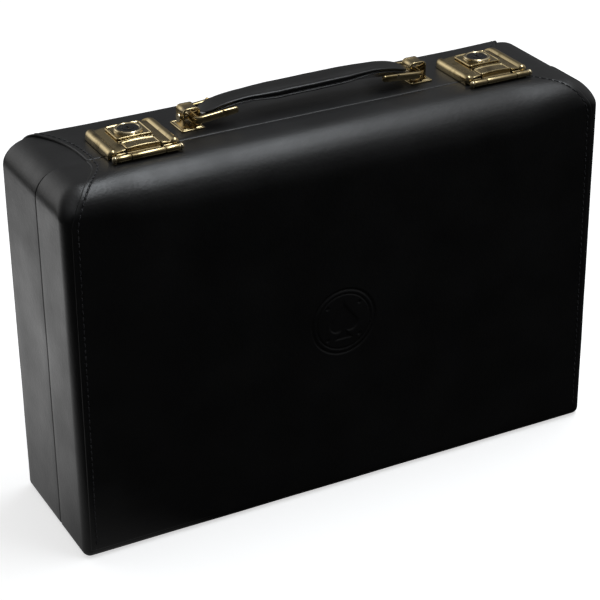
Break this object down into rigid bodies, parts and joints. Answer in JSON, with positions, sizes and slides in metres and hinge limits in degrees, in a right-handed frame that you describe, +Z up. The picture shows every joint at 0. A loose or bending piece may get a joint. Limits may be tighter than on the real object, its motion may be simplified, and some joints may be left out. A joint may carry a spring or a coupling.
{
  "type": "poker chip case",
  "caption": "Leather-covered attache case for poker chips, with brass latches, a carrying handle, a hinged lid and a lift-out tray.",
  "frame": {"origin": "centre of the bottom (hinge side) that the closed case stands on, mid-width and mid-depth", "axes": "+X along the case's width, +Y towards the back of the base half, +Z up"},
  "size_m": [0.4, 0.1106, 0.2842],
  "materials": {
    "leather": "black calf, satin, fine grain",
    "grip_leather": "black leather, satin",
    "board": "sanded plywood",
    "velvet": "short black velvet",
    "brass": "polished",
    "bright_brass": "polished, bright edges",
    "steel": "plain",
    "spring_steel": "drawn",
    "black_lock": "black enamel"
  },
  "bodies": {
    "base": {"base_frame": "board", "base_panel": "board", "base_side_leather": "leather", "base_face_leather": "leather", "base_lining": "velvet", "dust_lip": "brass", "tray_bearers": "board", "hinge_leaf_base": "brass", "hinge_pin": "steel", "hinge_screws_base": "bright_brass", "stay_stud_left": "brass", "stay_stud_right": "brass", "lock_plate_left": "brass", "lock_plate_right": "brass", "lock_cover_left": "brass", "lock_cover_right": "brass", "button_spring_left": "spring_steel", "button_spring_right": "spring_steel", "latch_screws": "bright_brass", "handle_plate_left": "brass", "handle_plate_right": "brass", "handle_screws": "bright_brass"},
    "lid": {"lid_frame": "board", "lid_panel": "board", "lid_side_leather": "leather", "lid_face_leather": "leather", "lid_lining": "velvet", "lid_pad": "velvet", "hinge_leaf_lid": "brass", "hinge_screws_lid": "bright_brass", "stay_pivot_left": "brass", "stay_pivot_right": "brass", "hasp_plate_left": "brass", "hasp_plate_right": "brass", "hasp_pin_left": "bright_brass", "hasp_pin_right": "bright_brass", "hasp_plate_screws": "bright_brass"},
    "tray": {"chip_tray": "velvet", "card_tray": "velvet"},
    "stay_left": {"stay_arm_left": "brass"},
    "stay_right": {"stay_arm_right": "brass"},
    "button_left": {"slide_button_left": "bright_brass", "latch_bolt_left": "steel", "key_bezel_left": "bright_brass", "key_cylinder_left": "black_lock"},
    "button_right": {"slide_button_right": "bright_brass", "latch_bolt_right": "steel", "key_bezel_right": "bright_brass", "key_cylinder_right": "black_lock"},
    "key_left": {"key_plug_left": "black_lock"},
    "key_right": {"key_plug_right": "black_lock"},
    "hasp_left": {"hasp_left": "brass"},
    "hasp_right": {"hasp_right": "brass"},
    "handle": {"handle_fork_left": "brass", "handle_fork_right": "brass", "handle_pivot_left": "bright_brass", "handle_pivot_right": "bright_brass", "handle_core": "steel", "handle_leather": "grip_leather", "handle_rivets": "bright_brass"}
  },
  "joints": [
    {"name": "lid_hinge", "type": "hinge", "parent": "base", "child": "lid", "pos_m": [0, -0.00975, 0.0024], "axis": [1, 0, 0], "range_deg": [0, 100]},
    {"name": "handle_tilt", "type": "hinge", "parent": "base", "child": "handle", "pos_m": [0, 0.01075, 0.275], "axis": [1, 0, 0], "range_deg": [-16, 16], "stiffness_Nm_per_rad": 0.05},
    {"name": "tray_lift", "type": "slide", "parent": "base", "child": "tray", "axis": [0, -1, 0], "range_m": [0, 0.03]},
    {"name": "stay_turn_left", "type": "hinge", "parent": "lid", "child": "stay_left", "pos_m": [-0.1858, -0.02175, 0.0299], "axis": [1, 0, 0], "range_deg": [-50, 0]},
    {"name": "hasp_flip_left", "type": "hinge", "parent": "lid", "child": "hasp_left", "pos_m": [-0.1275, -0.02425, 0.2708], "axis": [1, 0, 0], "range_deg": [0, 95]},
    {"name": "button_slide_left", "type": "slide", "parent": "base", "child": "button_left", "axis": [-1, 0, 0], "range_m": [0, 0.005], "stiffness_N_per_m": 300, "deforming": ["button_spring_left"]},
    {"name": "key_turn_left", "type": "hinge", "parent": "button_left", "child": "key_left", "pos_m": [-0.1275, 0.0076, 0.274], "axis": [0, 0, 1], "range_deg": [0, 90]},
    {"name": "stay_turn_right", "type": "hinge", "parent": "lid", "child": "stay_right", "pos_m": [0.1858, -0.02175, 0.0299], "axis": [1, 0, 0], "range_deg": [-50, 0]},
    {"name": "hasp_flip_right", "type": "hinge", "parent": "lid", "child": "hasp_right", "pos_m": [0.1375, -0.02425, 0.2708], "axis": [1, 0, 0], "range_deg": [0, 95]},
    {"name": "button_slide_right", "type": "slide", "parent": "base", "child": "button_right", "axis": [1, 0, 0], "range_m": [0, 0.005], "stiffness_N_per_m": 300, "deforming": ["button_spring_right"]},
    {"name": "key_turn_right", "type": "hinge", "parent": "button_right", "child": "key_right", "pos_m": [0.1375, 0.0076, 0.274], "axis": [0, 0, 1], "range_deg": [-90, 0]}
  ],
  "couplings": [
    {"joint": "stay_turn_left", "follows": "lid_hinge", "ratio": -0.5},
    {"joint": "stay_turn_right", "follows": "lid_hinge", "ratio": -0.5}
  ]
}
